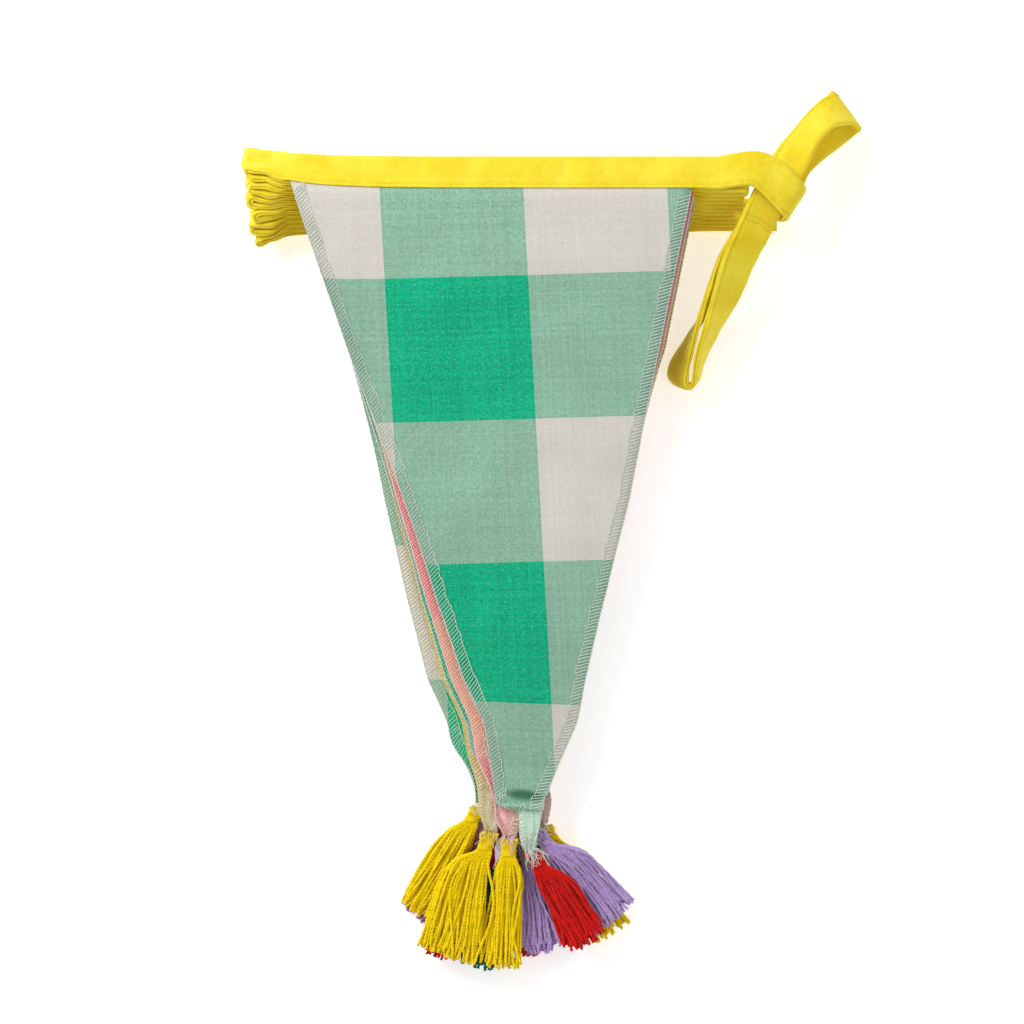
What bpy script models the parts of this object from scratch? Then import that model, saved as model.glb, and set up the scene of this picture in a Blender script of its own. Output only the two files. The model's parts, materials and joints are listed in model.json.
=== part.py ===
"""Fabric bunting, folded up: twelve gingham pennants on one long tape, laid one on another.

The tape runs back and forth along X, the pennants hang towards -Y, and the pile rests on
z = 0 with its first pennant on top. One end of the tape is knotted and looped at the right.
"""
import math
import random
from collections import namedtuple

import bmesh
import bpy
from mathutils import Vector

MM = 0.001  # everything below is in millimetres and degrees
CENTRE_X = 0.43  # the middle of all pieces, moved onto the origin at the end
CENTRE_Y = 0.76

# Tape: a strip folded double, open along its lower edge, where the pennants go in.
TAPE_WIDTH = 13.0
TAPE_THICK = 2.2
FOLD_PITCH = 2.6  # from one run of the tape to the next
SLOT_WIDTH = 1.3
SLOT_DEPTH = 7.0
SLOT_PAD = 2.5  # how soon it closes beyond a pennant
GROOVE_WIDTH = 0.65  # the edge where no pennant goes in
GROOVE_DEPTH = 0.5
PENNANT_COUNT = 12
TOP_RUN = (PENNANT_COUNT - 1) / 2 * FOLD_PITCH  # from the pile's middle to its first run
HEADING_Y = 119.0
CROWDING = 1.5  # steps along X are closer together at the left, where the pile twists
FOLD_STEPS = 4

# The runs lean: the first is the highest up the page, and the lean is steepest at the left.
LEAN_LEFT = 57.0
LEAN_RIGHT = 28.0
LEAN_FADE = 14.0
LEFT_END = -107.0
RIGHT_END = 67.0
LEFT_STEP = 0.75  # how much further in each fold is than the one above it
RIGHT_STEP = 0.5
UNEVEN = (0.0, 1.0, -0.2, 0.8, -0.8, 0.5)  # how far each fold is from where it should be
SLOT_LEFT = -92.5
SLOT_RIGHT = 50.5
FIRST_RUN_END = 58.0  # where the tie begins
LAST_RUN_END = 79.0

# Pennants.
CLOTH_THICK = 1.0
SEAM_THICK = 0.7  # pressed flat inside the tape
SEAM_REACH = 6.6  # how far a pennant goes into the tape
LAY_PITCH = 1.45  # from one lying pennant to the next
ROUGHNESS = 0.85
SETTLE = 105.0  # the length over which they come down from the tape
CREASE = 3.0  # how soon a pennant bends level below the tape
TIP_HALF = 2.2  # half the width of the tip's end
TIP_TAPER = 7.0  # the length over which it narrows to that
TURN_FROM = 0.9  # the tip turns square to its tassel from here down
TIP_RISE_Y = -90.0  # and from here down it goes to its tassel's height
COLUMNS = 5
ROWS = (0, 0.01, 0.027, 0.06, 0.12, 0.2, 0.3, 0.42, 0.54, 0.65, 0.74, 0.81, 0.87, 0.905, 0.935, 0.967, 1)
SEAM_ROW = 2  # the cloth has its full thickness from this row down

# Tassels.
HEAD_TOP = 3.4
HEAD_GAP = 0.6
STRAND_COLUMNS = 5
STRAND_LAYERS = 3
STRAND_WIDE = 1.9
STRAND_SHARE = 0.76  # of the room that a strand has in its layer
STRAND_THICK = 1.2
STRAND_PITCH = 1.6
STRAND_STOPS = (0.12, 0.4, 0.7, 1.0)  # shares of a strand's length
STRAND_SPREAD = 0.42  # strands fan out soonest near the head
STRAND_DOWN = 0.67  # the share of its length over which a strand comes down
STRAND_ASIDE = 0.25
STRAND_SHORT = 1.2
STRAND_LONG = 1.6
LEVEL_GAP = 0.25  # between two levels of tassels

Edge = namedtuple("Edge", "y left right")
# The pennants' two edges, where the first one lies.
EDGES = (
    Edge(120.0, -91.0, 48.4),
    Edge(64.0, -71.4, 37.1),
    Edge(11.5, -51.8, 26.9),
    Edge(-22.0, -40.7, 18.5),
    Edge(-50.0, -31.2, 12.0),
    Edge(-66.0, -23.9, 8.7),
    Edge(-84.0, -21.0, 1.0),
    Edge(-94.0, -19.2, -2.6),
    Edge(-112.0, -14.0, -8.0),
)
LEAN_TOP_Y = 64.0
LEAN_FULL_Y = -53.0
LEAN_CURVE = 0.75
TOP_SHIFT_Y = 40.0  # top_shift fades out from here down to the middle of the page

Wave = namedtuple("Wave", "share x y phase")
# The soft waves in the pile: how much of the height they are, and how long they are.
WAVES = (
    Wave(0.035, 17.0, 41.0, 0.0),
    Wave(0.03, -60.0, 23.0, 1.0),
)

Pennant = namedtuple("Pennant", "colour lean top_shift gather_top gather_end strip")
# From the top of the pile down. lean: how far the lower half lies to the side. top_shift: the
# same near the top. The tip is gathered between gather_top and gather_end, to twice strip wide.
PENNANTS = (
    Pennant("green", 0.0, 0.0, -91.0, -97.0, 3.7),
    Pennant("red", -4.6, 1.2, -76.0, -97.0, 5.2),
    Pennant("green", -6.4, 0.6, -74.0, -98.0, 3.6),
    Pennant("yellow", -8.3, 2.2, -74.0, -96.0, 4.0),
    Pennant("green", -12.9, 1.4, -70.0, -92.0, 2.6),
    Pennant("red", -8.6, 1.2, -70.0, -90.0, 2.6),
    Pennant("lilac", -6.0, 0.6, -72.0, -94.0, 2.8),
    Pennant("yellow", -10.0, 1.9, -72.0, -96.0, 3.4),
    Pennant("green", -7.2, 1.0, -72.0, -96.0, 3.4),
    Pennant("red", -4.4, 1.4, -72.0, -96.0, 3.0),
    Pennant("lilac", -8.5, 0.4, -72.0, -96.0, 2.5),
    Pennant("yellow", -6.0, 1.2, -68.0, -88.0, 3.0),
)

Tassel = namedtuple("Tassel", "colour level head_x head_y head_z end_x end_y end_half bow")
# One for each pennant, in the same order. They lie in levels, one on another. head and end are
# the middle of the head and of the strands' ends. bow: how far the skirt swings to its side.
TASSELS = (
    Tassel("red", 2, -5.6, -113.8, 17.8, 12.2, -142.8, 6.8, 1.0),
    Tassel("yellow", 2, -15.1, -109.9, 16.2, -17.2, -151.0, 6.0, 0.0),
    Tassel("lilac", 1, -3.4, -106.8, 13.0, 21.7, -134.4, 8.5, 1.5),
    Tassel("yellow", 2, -22.8, -107.8, 14.8, -35.7, -147.4, 10.5, -3.2),
    Tassel("yellow", 1, -27.0, -98.5, 10.2, -47.4, -132.0, 6.8, -1.0),
    Tassel("red", 1, -21.4, -107.2, 8.4, -40.6, -147.4, 5.6, 0.6),
    Tassel("teal", 1, -14.8, -111.3, 10.2, -26.6, -150.9, 6.0, 0.4),
    Tassel("lilac", 1, -8.4, -114.6, 8.4, -5.0, -146.0, 7.2, 0.0),
    Tassel("red", 0, -12.8, -113.4, 4.0, -6.7, -147.0, 4.6, 0.0),
    Tassel("yellow", 0, -1.2, -105.5, 4.0, 20.2, -140.2, 7.0, 0.0),
    Tassel("teal", 0, -6.2, -113.2, 3.3, 4.9, -142.1, 4.6, 0.0),
    Tassel("lilac", 0, -25.2, -103.0, 2.9, -46.2, -134.6, 6.5, 0.0),
)

Ring = namedtuple("Ring", "y wide deep")
# A tassel's head, from the strands' roots up: the skirt's top, the binding and the crown.
HEAD_RINGS = (
    Ring(-4.0, 3.3, 2.4),
    Ring(-1.6, 2.4, 2.0),
    Ring(0.4, 3.1, 2.7),
    Ring(2.4, 2.7, 2.3),
    Ring(HEAD_TOP, 1.4, 1.2),
)

Station = namedtuple("Station", "x y z across lift")
# The tie, from its sewn end to the first run of the tape. across is the direction of the
# strip's width on the page, and lift is how far that direction points up off the page.
TIE = (
    # back strand of the hanging loop
    Station(69.3, 104.0, 20.8, -25, -22),
    Station(63.2, 95.2, 19.4, -24, -36),
    Station(57.7, 84.7, 17.2, -23, -58),
    Station(51.4, 73.9, 14.4, -22, -88),
    Station(45.9, 62.0, 10.4, -20, -112),
    Station(44.2, 56.0, 9.0, -20, -120),
    # its fold
    Station(44.8, 53.0, 8.5, -20, -114),
    Station(47.1, 51.8, 8.3, -20, -102),
    Station(49.6, 52.8, 8.7, -20, -90),
    # front strand
    Station(50.8, 55.8, 9.6, -20, -82),
    Station(52.0, 62.0, 11.4, -20, -78),
    Station(56.7, 73.9, 15.8, -22, -65),
    Station(61.2, 84.7, 19.4, -23, -45),
    Station(65.0, 95.2, 22.8, -24, -34),
    Station(69.6, 104.8, 24.8, -26, -27),
    # through the knot, and on to the bight
    Station(73.8, 113.5, 25.8, -31, -20),
    Station(78.0, 121.2, 25.8, -32, -8),
    Station(83.0, 129.8, 24.6, -34, 14),
    Station(88.6, 138.6, 22.0, -38, 44),
    Station(94.8, 145.6, 18.0, -45, 40),
    Station(100.6, 148.4, 14.2, -51, 12),
    # the bight's fold
    Station(103.2, 148.0, 12.0, -54, 0),
    Station(103.6, 146.6, 9.8, -56, 0),
    Station(101.6, 144.4, 8.6, -56, 0),
    # back behind the knot
    Station(97.2, 140.8, 8.8, -52, 0),
    Station(90.6, 135.6, 12.0, -36, 0),
    Station(84.6, 129.2, 15.4, -16, 0),
    Station(81.6, 122.8, 18.0, 0, -2),
    Station(80.6, 118.0, 19.0, 24, -4),
    Station(81.8, 115.4, 19.6, 46, -2),
    # round the strip, and over it
    Station(83.8, 114.9, 21.6, 57, 0),
    Station(84.7, 115.5, 25.4, 58, 0),
    Station(83.4, 117.0, 28.6, 56, 0),
    Station(80.2, 120.4, 29.9, 50, 0),
    Station(76.4, 124.0, 30.2, 50, -4),
    Station(72.6, 126.6, 30.1, 66, -12),
    Station(67.6, 127.2, 29.8, 82, -22),
)
TIE_SPLITS = 2
LEAST_SLANT = 0.75  # a section across the strip at a slant is longer, by up to 1 / this

CLOTH_COLOURS = {
    "green": (0.10, 0.48, 0.32),
    "red": (0.75, 0.12, 0.10),
    "lilac": (0.48, 0.36, 0.66),
    "yellow": (0.82, 0.70, 0.02),
    "teal": (0.02, 0.30, 0.26),
}


def smooth(value):
    value = min(1.0, max(0.0, value))
    return value * value * (3 - 2 * value)


def mix(low, high, amount):
    return low + (high - low) * amount


def lean_at(x):
    return math.radians(mix(LEAN_RIGHT, LEAN_LEFT, math.exp((LEFT_END - x) / LEAN_FADE)))


def pile_point(x, width, stack):
    """A point of the leaning pile of tape: across the tape's width, and up through the runs."""
    lean = lean_at(x)
    floor = TAPE_WIDTH / 2 * math.sin(lean) + (TOP_RUN + TAPE_THICK / 2) * math.cos(lean)
    return Vector((
        x,
        HEADING_Y + width * math.cos(lean) + stack * math.sin(lean),
        floor - width * math.sin(lean) + stack * math.cos(lean),
    ))


def run_height(index):
    return TOP_RUN - index * FOLD_PITCH


def clean_scene():
    for item in list(bpy.data.objects):
        bpy.data.objects.remove(item, do_unlink=True)


def material(name, colour):
    made = bpy.data.materials.new(name)
    made.use_nodes = True
    shader = made.node_tree.nodes["Principled BSDF"]
    shader.inputs["Base Color"].default_value = (*colour, 1)
    shader.inputs["Roughness"].default_value = ROUGHNESS
    shader.inputs["Metallic"].default_value = 0.0
    return made


def add_object(name, bm, collection, surface):
    mesh = bpy.data.meshes.new(name)
    bm.to_mesh(mesh)
    bm.free()
    mesh.materials.append(surface)
    made = bpy.data.objects.new(name, mesh)
    collection.objects.link(made)
    return made


def sheet(across, along):
    """A grid of across x along faces, and its points as rows of columns."""
    bm = bmesh.new()
    bmesh.ops.create_grid(bm, x_segments=across, y_segments=along, size=1)
    bm.verts.ensure_lookup_table()
    count = across + 1
    rows = [bm.verts[row * count:(row + 1) * count] for row in range(along + 1)]
    return bm, rows


# ---- Tape

Frame = namedtuple("Frame", "centre width along slot")


def run_frames(index):
    """One run of the tape, in its own direction."""
    stack = run_height(index)
    leftwards = index % 2 == 0
    inner = fold_end("left", index)
    outer = {0: FIRST_RUN_END, PENNANT_COUNT - 1: LAST_RUN_END}.get(index) or fold_end("right", index)
    closed = SLOT_LEFT - SLOT_PAD
    stops = [mix(SLOT_LEFT, SLOT_RIGHT, (step / COLUMNS) ** CROWDING) for step in range(COLUMNS + 1)]
    places = [(x, False) for x in (inner, (inner + closed) / 2, closed)]
    places += [(x, True) for x in stops]
    places += [(x, False) for x in (SLOT_RIGHT + SLOT_PAD, outer)]
    if leftwards:
        places.reverse()
    frames = []
    for x, slotted in places:
        centre = pile_point(x, 0, stack)
        width = (pile_point(x, 1, stack) - centre).normalized()
        along = Vector((-1 if leftwards else 1, 0, 0))
        frames.append(Frame(centre, width, along, SLOT_DEPTH if slotted else GROOVE_DEPTH))
    return frames


def fold_end(side, index):
    """Where the tape folds back: the runs end unevenly, and further in towards the bottom."""
    pair = (index + (0 if side == "left" else 1)) // 2
    uneven = UNEVEN[pair]
    if side == "left":
        return LEFT_END + FOLD_PITCH / 2 + LEFT_STEP * pair + uneven
    return RIGHT_END - FOLD_PITCH / 2 - RIGHT_STEP * pair + uneven


def fold_frames(index):
    """The half turn after run index."""
    side = "left" if index % 2 == 0 else "right"
    outward = -1 if side == "left" else 1
    x = fold_end(side, index)
    middle = (run_height(index) + run_height(index + 1)) / 2
    radius = FOLD_PITCH / 2
    frames = []
    for step in range(1, FOLD_STEPS):
        turn = math.pi * step / FOLD_STEPS
        here = x + outward * radius * math.sin(turn)
        centre = pile_point(here, 0, middle + radius * math.cos(turn))
        width = (pile_point(here, 1, middle) - pile_point(here, 0, middle)).normalized()
        up = (pile_point(here, 0, middle + 1) - pile_point(here, 0, middle)).normalized()
        along = Vector((outward * math.cos(turn), 0, 0)) - up * math.sin(turn)
        frames.append(Frame(centre, width, along, GROOVE_DEPTH))
    return frames


def curve_through(before, start, end, after, amount):
    """Catmull-Rom between start and end."""
    square = amount * amount
    cube = square * amount
    return 0.5 * (
        2 * start + (end - before) * amount
        + (2 * before - 5 * start + 4 * end - after) * square
        + (3 * start - before - 3 * end + after) * cube
    )


def tie_frames(first_run):
    """The tie, ending where the first run begins."""
    joint = first_run.centre
    lean = math.degrees(lean_at(joint.x))
    stations = list(TIE) + [Station(joint.x, joint.y, joint.z, 90, -lean)]
    samples = []
    last = len(stations) - 1
    for index in range(last):
        before = stations[max(0, index - 1)]
        after = stations[min(last, index + 2)]
        for split in range(TIE_SPLITS):
            samples.append(Station(*(
                curve_through(*values, split / TIE_SPLITS)
                for values in zip(before, stations[index], stations[index + 1], after)
            )))
    samples.append(stations[-1])
    places = [Vector((s.x, s.y, s.z)) for s in samples]
    frames = []
    for index, sample in enumerate(samples[:-1]):
        ahead = (places[index + 1] - places[index]).normalized()
        behind = (places[index] - places[max(0, index - 1)]).normalized() if index else ahead
        along = (ahead + behind).normalized()
        across, lift = math.radians(sample.across), math.radians(sample.lift)
        flat = math.cos(lift)
        width = Vector((math.cos(across) * flat, math.sin(across) * flat, math.sin(lift)))
        width /= max(LEAST_SLANT, width.cross(along).length)
        frames.append(Frame(places[index], width, along, GROOVE_DEPTH))
    return frames


def section(frame):
    """The tape's eight corners: a strip with a slot in its lower edge."""
    half = TAPE_WIDTH / 2
    thick = TAPE_THICK / 2
    slot = (SLOT_WIDTH if frame.slot > GROOVE_DEPTH else GROOVE_WIDTH) / 2
    bottom = -half + frame.slot
    normal = frame.along.cross(frame.width).normalized()
    corners = (
        (-half, -thick), (-half, -slot), (bottom, -slot), (bottom, slot),
        (-half, slot), (-half, thick), (half, thick), (half, -thick),
    )
    return [frame.centre + frame.width * across + normal * deep for across, deep in corners]


def make_tape(collection):
    frames = tie_frames(run_frames(0)[0])
    for index in range(PENNANT_COUNT):
        frames += run_frames(index)
        if index < PENNANT_COUNT - 1:
            frames += fold_frames(index)
    corners = len(section(frames[0]))
    bm, rows = sheet(corners, len(frames) - 1)
    for row, frame in zip(rows, frames):
        points = section(frame)
        for vert, point in zip(row, points + points[:1]):
            vert.co = point * MM
    bmesh.ops.remove_doubles(bm, verts=bm.verts, dist=1e-6)
    open_edges = [edge for edge in bm.edges if edge.is_boundary]
    bmesh.ops.holes_fill(bm, edges=open_edges, sides=corners)
    bmesh.ops.recalc_face_normals(bm, faces=bm.faces)
    return add_object("tape", bm, collection, material("tape", CLOTH_COLOURS["yellow"]))


# ---- Pennants

def edges_at(y):
    """The first pennant's left and right edge at height y."""
    for upper, lower in zip(EDGES, EDGES[1:]):
        if y >= lower.y:
            break
    amount = (upper.y - y) / (upper.y - lower.y)
    return mix(upper.left, lower.left, amount), mix(upper.right, lower.right, amount)


def tip_of(tassel):
    """Where the gathered tip ends, just above its tassel's head."""
    head = Vector((tassel.head_x, tassel.head_y))
    upwards = (head - Vector((tassel.end_x, tassel.end_y))).normalized()
    return head + upwards * (HEAD_TOP + HEAD_GAP)


def tassel_turn(tassel):
    return math.atan2(tassel.end_x - tassel.head_x, tassel.head_y - tassel.end_y)


def outline(pennant, tip, y):
    """A pennant's middle and half width at height y."""
    left, right = edges_at(y)
    lean = max(0.0, min(1.0, (LEAN_TOP_Y - y) / (LEAN_TOP_Y - LEAN_FULL_Y))) ** LEAN_CURVE
    shift = pennant.lean * lean + pennant.top_shift * smooth(y / TOP_SHIFT_Y)
    middle = (left + right) / 2 + shift
    half = (right - left) / 2
    gathered = pennant.gather_top - y
    amount = smooth(gathered / (pennant.gather_top - pennant.gather_end))
    half = mix(half, pennant.strip, amount)
    half = mix(half, TIP_HALF, smooth((tip.y + TIP_TAPER - y) / TIP_TAPER))
    middle = mix(middle, tip.x, amount)
    return middle, half


def lay_height(index, x, y):
    """The middle of a lying pennant's thickness, with the pile's soft waves."""
    level = (PENNANT_COUNT - 1 - index) * LAY_PITCH
    waves = sum(wave.share * math.sin(x / wave.x + y / wave.y + wave.phase) for wave in WAVES)
    return CLOTH_THICK / 2 + level * (1 + waves)


def pennant_point(index, column, row):
    tassel = TASSELS[index]
    stack = run_height(index)
    lower_edge = -TAPE_WIDTH / 2
    tip = tip_of(tassel)
    down = max(0.0, row)
    typical = mix(pile_point(0, lower_edge, stack).y, tip.y, down)
    middle, half = outline(PENNANTS[index], tip, typical)
    side = half * (2 * column - 1)
    turn = tassel_turn(tassel) * smooth((down - TURN_FROM) / (1 - TURN_FROM))
    x = middle + side * math.cos(turn)
    if row < 0:
        return pile_point(x, lower_edge + SEAM_REACH, stack)
    leaving = pile_point(x, lower_edge, stack)
    y = mix(leaving.y, tip.y, down) + side * math.sin(turn)
    below = leaving.y - y
    height = mix(leaving.z, lay_height(index, x, y), smooth(below / SETTLE))
    height += math.tan(lean_at(x)) * below * math.exp(-below / CREASE)
    height = mix(height, tassel.head_z, smooth((TIP_RISE_Y - y) / (TIP_RISE_Y - tip.y)))
    return Vector((x, y, height))


def make_pennant(index, collection, surface):
    pennant = PENNANTS[index]
    bm, rows = sheet(COLUMNS, len(ROWS))
    downs = (-1,) + ROWS
    for row, down in zip(rows, downs):
        for column, vert in enumerate(row):
            vert.co = pennant_point(index, (column / COLUMNS) ** CROWDING, down) * MM
    bmesh.ops.reverse_faces(bm, faces=bm.faces)
    made = add_object(f"pennant_{index + 1:02d}_{pennant.colour}", bm, collection, surface)
    group = made.vertex_groups.new(name="thickness")
    for number, down in enumerate(downs):
        thickness = mix(SEAM_THICK, CLOTH_THICK, smooth(down / ROWS[SEAM_ROW]))
        first = number * (COLUMNS + 1)
        group.add(range(first, first + COLUMNS + 1), thickness / CLOTH_THICK, "REPLACE")
    solid = made.modifiers.new("thickness", "SOLIDIFY")
    solid.thickness = CLOTH_THICK * MM
    solid.offset = 0
    solid.vertex_group = group.name
    return made


# ---- Tassels

def round_off(across, deep):
    """A square's point moved onto the matching disc."""
    return across * math.sqrt(1 - deep * deep / 2), deep * math.sqrt(1 - across * across / 2)


def head_of_tassel(bm):
    """The roots' grid of cells, with the head drawn up from its rim. Returns the cells."""
    bmesh.ops.create_grid(bm, x_segments=STRAND_COLUMNS, y_segments=STRAND_LAYERS, size=1)
    cells = list(bm.faces)
    root = HEAD_RINGS[0]
    for vert in bm.verts:
        across, deep = round_off(vert.co.x, vert.co.y)
        vert.co = Vector((across * root.wide, root.y, deep * root.deep)) * MM
    rim = [edge for edge in bm.edges if edge.is_boundary]
    for lower, upper in zip(HEAD_RINGS, HEAD_RINGS[1:]):
        grown = bmesh.ops.extrude_edge_only(bm, edges=rim)["geom"]
        rim = [item for item in grown if isinstance(item, bmesh.types.BMEdge) and item.is_boundary]
        for vert in (item for item in grown if isinstance(item, bmesh.types.BMVert)):
            vert.co.x *= upper.wide / lower.wide
            vert.co.y = upper.y * MM
            vert.co.z *= upper.deep / lower.deep
    bmesh.ops.holes_fill(bm, edges=rim, sides=0)
    return cells


def grow_strand(bm, face, across, layer, tassel, rng):
    """Draws one strand out of its cell, in a few steps that fan out and come down."""
    start = face.calc_center_median() / MM
    end_x = across * tassel.end_half + rng.uniform(-STRAND_ASIDE, STRAND_ASIDE)
    length = math.hypot(tassel.end_x - tassel.head_x, tassel.end_y - tassel.head_y)
    end_y = -length + rng.uniform(-STRAND_LONG, STRAND_SHORT)
    middle_layer = (STRAND_LAYERS - 1) / 2
    level = (layer - middle_layer) * STRAND_PITCH
    floor = tassel.level * (STRAND_LAYERS * STRAND_PITCH + LEVEL_GAP)
    drop = tassel.head_z - floor - middle_layer * STRAND_PITCH - STRAND_THICK / 2
    root_room = HEAD_RINGS[0].wide * 2 / STRAND_COLUMNS
    for stop in STRAND_STOPS:
        fan = stop ** STRAND_SPREAD
        centre = Vector((
            mix(start.x, end_x, fan) + tassel.bow * math.sin(math.pi * fan),
            mix(start.y, end_y, stop),
            level - drop * min(1.0, stop / STRAND_DOWN),
        ))
        wide = min(STRAND_WIDE, STRAND_SHARE * mix(root_room, tassel.end_half * 2 / STRAND_COLUMNS, fan))
        face = bmesh.ops.extrude_discrete_faces(bm, faces=[face])["faces"][0]
        old = face.calc_center_median()
        for vert in face.verts:
            side = math.copysign(wide / 2, vert.co.x - old.x)
            rise = math.copysign(STRAND_THICK / 2, vert.co.z - old.z)
            vert.co = (centre + Vector((side, 0, rise))) * MM


def make_tassel(index, collection, surface):
    tassel = TASSELS[index]
    rng = random.Random(index)
    bm = bmesh.new()
    cells = head_of_tassel(bm)
    for number, face in enumerate(cells):
        column, layer = number % STRAND_COLUMNS, number // STRAND_COLUMNS
        across = (column + (layer + 0.5) / STRAND_LAYERS) / STRAND_COLUMNS * 2 - 1
        grow_strand(bm, face, across, layer, tassel, rng)
    bmesh.ops.recalc_face_normals(bm, faces=bm.faces)
    made = add_object(f"tassel_{index + 1:02d}_{tassel.colour}", bm, collection, surface)
    made.location = Vector((tassel.head_x, tassel.head_y, tassel.head_z)) * MM
    made.rotation_euler.z = tassel_turn(tassel)
    return made


def main():
    clean_scene()
    parts = bpy.data.collections.new("fabric_bunting")
    bpy.context.scene.collection.children.link(parts)
    make_tape(parts)
    for index, pennant in enumerate(PENNANTS):
        cloth = material(f"gingham_{index + 1:02d}", CLOTH_COLOURS[pennant.colour])
        make_pennant(index, parts, cloth)
        yarn = material(f"yarn_{index + 1:02d}", CLOTH_COLOURS[TASSELS[index].colour])
        make_tassel(index, parts, yarn)
    for item in parts.objects:
        item.location -= Vector((CENTRE_X, CENTRE_Y, 0)) * MM


main()
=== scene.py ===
# Fabric bunting, folded up: gingham pennants with yarn tassels, sewn to one long yellow tape.
import json
import random
import bmesh
import bpy
from math import atan2, copysign, cos, degrees, exp, hypot, pi, radians, sin, tan
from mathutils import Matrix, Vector, noise

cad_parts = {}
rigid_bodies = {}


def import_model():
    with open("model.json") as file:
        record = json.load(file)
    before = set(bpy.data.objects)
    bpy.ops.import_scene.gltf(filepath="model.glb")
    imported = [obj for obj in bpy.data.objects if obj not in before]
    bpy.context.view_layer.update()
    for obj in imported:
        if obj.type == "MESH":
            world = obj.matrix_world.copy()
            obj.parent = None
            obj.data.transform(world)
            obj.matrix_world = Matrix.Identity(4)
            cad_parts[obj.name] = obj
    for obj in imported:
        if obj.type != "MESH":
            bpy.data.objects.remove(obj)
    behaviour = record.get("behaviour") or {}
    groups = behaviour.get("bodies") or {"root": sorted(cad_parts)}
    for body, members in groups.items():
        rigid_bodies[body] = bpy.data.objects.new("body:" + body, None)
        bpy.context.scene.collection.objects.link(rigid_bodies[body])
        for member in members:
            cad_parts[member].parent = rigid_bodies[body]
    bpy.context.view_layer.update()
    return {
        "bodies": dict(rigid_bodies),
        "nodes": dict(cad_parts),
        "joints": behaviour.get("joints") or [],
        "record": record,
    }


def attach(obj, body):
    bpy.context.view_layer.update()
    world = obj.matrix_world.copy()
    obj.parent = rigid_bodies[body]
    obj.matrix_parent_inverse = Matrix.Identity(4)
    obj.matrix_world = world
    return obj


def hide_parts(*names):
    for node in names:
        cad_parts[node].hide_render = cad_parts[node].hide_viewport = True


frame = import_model()
mm = 0.001  # places below are in millimetres, turned into metres where a mesh is made
middleOfAll = Vector((0.43, 0.76, 0.0))  # the solids were moved by this, onto the origin


# small helpers

def smooth(value):
    value = min(1.0, max(0.0, value))
    return value * value * (3 - 2 * value)


def ramp(value, start, over):
    return smooth((value - start) / over)


def mix(low, high, amount):
    return low + (high - low) * amount


def placed(point):
    return (Vector(point) - middleOfAll) * mm


def srgb(*parts):
    shares = [part / 255 for part in parts]
    return (*(share / 12.92 if share < 0.04045 else ((share + 0.055) / 1.055) ** 2.4 for share in shares), 1.0)


def curveThrough(before, start, end, after, amount):
    square = amount * amount
    cube = square * amount
    return 0.5 * (
        2 * start + (end - before) * amount
        + (2 * before - 5 * start + 4 * end - after) * square
        + (3 * start - before - 3 * end + after) * cube
    )


def addObject(name, data, surface=None):
    made = bpy.data.objects.new(name, data)
    bpy.context.scene.collection.objects.link(made)
    if surface:
        data.materials.append(surface)
    return made


def plainMesh(item, name):
    # the object as its modifiers leave it, and the modifiers gone
    bpy.context.view_layer.update()
    mesh = bpy.data.meshes.new_from_object(item.evaluated_get(bpy.context.evaluated_depsgraph_get()))
    mesh.name = name
    bpy.data.objects.remove(item)
    return addObject(name, mesh)


def curveObject(name, paths):
    data = bpy.data.curves.new(name, "CURVE")
    data.dimensions = "3D"
    for path in paths:
        spline = data.splines.new("POLY")
        spline.points.add(len(path) - 1)
        for point, place in zip(spline.points, path):
            point.co = (*place, 1.0)
    return addObject(name, data)


def grown(item, name, tree, sizes, **more):
    # the mesh that a node group makes on a guide, with its inputs given by name
    modifier = item.modifiers.new("grown", "NODES")
    modifier.node_group = tree
    values = {**sizes, **more}
    for socket in tree.interface.items_tree:
        if socket.name in values:
            modifier[socket.identifier] = values[socket.name]
    return plainMesh(item, name)


def inMetres(sizes):
    return {name: size * mm for name, size in sizes.items()}


def gridMesh(name, rows, closed=False):
    # rows of points, each as long as the next; closed joins the last column to the first
    count = len(rows[0])
    points = [point for row in rows for point in row]
    faces = []
    for r in range(len(rows) - 1):
        for c in range(count if closed else count - 1):
            near, far = r * count + c, r * count + (c + 1) % count
            faces.append((near, far, far + count, near + count))
    mesh = bpy.data.meshes.new(name)
    mesh.from_pydata(points, [], faces)
    mesh.shade_smooth()
    return mesh


def mapCloth(mesh, rows):
    # where each point of the grid is on the flat cloth, in metres
    uv = mesh.uv_layers.new(name="cloth")
    places = [place for row in rows for place in row]
    for loop in mesh.loops:
        uv.data[loop.index].uv = places[loop.vertex_index]


# node helpers

def connect(value, socket):
    if isinstance(value, bpy.types.NodeSocket):
        socket.id_data.links.new(value, socket)
    else:
        socket.default_value = value


def addNode(kind, inputs=(), tree=None, **settings):
    # the outputs of a new node, in the tree of the sockets that feed it
    items = inputs.items() if isinstance(inputs, dict) else enumerate(inputs)
    items = [(key, value) for key, value in items if value is not None]
    tree = tree or next(value.id_data for key, value in items if isinstance(value, bpy.types.NodeSocket))
    node = tree.nodes.new(kind)
    for key, value in settings.items():
        setattr(node, key, value)
    for key, value in items:
        connect(value, node.inputs[key])
    return node.outputs


def calc(operation, *values):
    return addNode("ShaderNodeMath", values, operation=operation)[0]


def plus(*values):
    return calc("ADD", *values)


def times(*values):
    return calc("MULTIPLY", *values)


def vectorOf(*values):
    return addNode("ShaderNodeCombineXYZ", values)[0]


def scaledBy(vector, amount):
    return addNode("ShaderNodeVectorMath", {0: vector, "Scale": amount}, operation="SCALE")[0]


def cloudy(vector, scale, detail):
    return addNode("ShaderNodeTexNoise", {"Vector": vector, "Scale": scale, "Detail": detail})[0]


def ownPlace(tree):
    return addNode("ShaderNodeTexCoord", tree=tree)["Object"]


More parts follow.
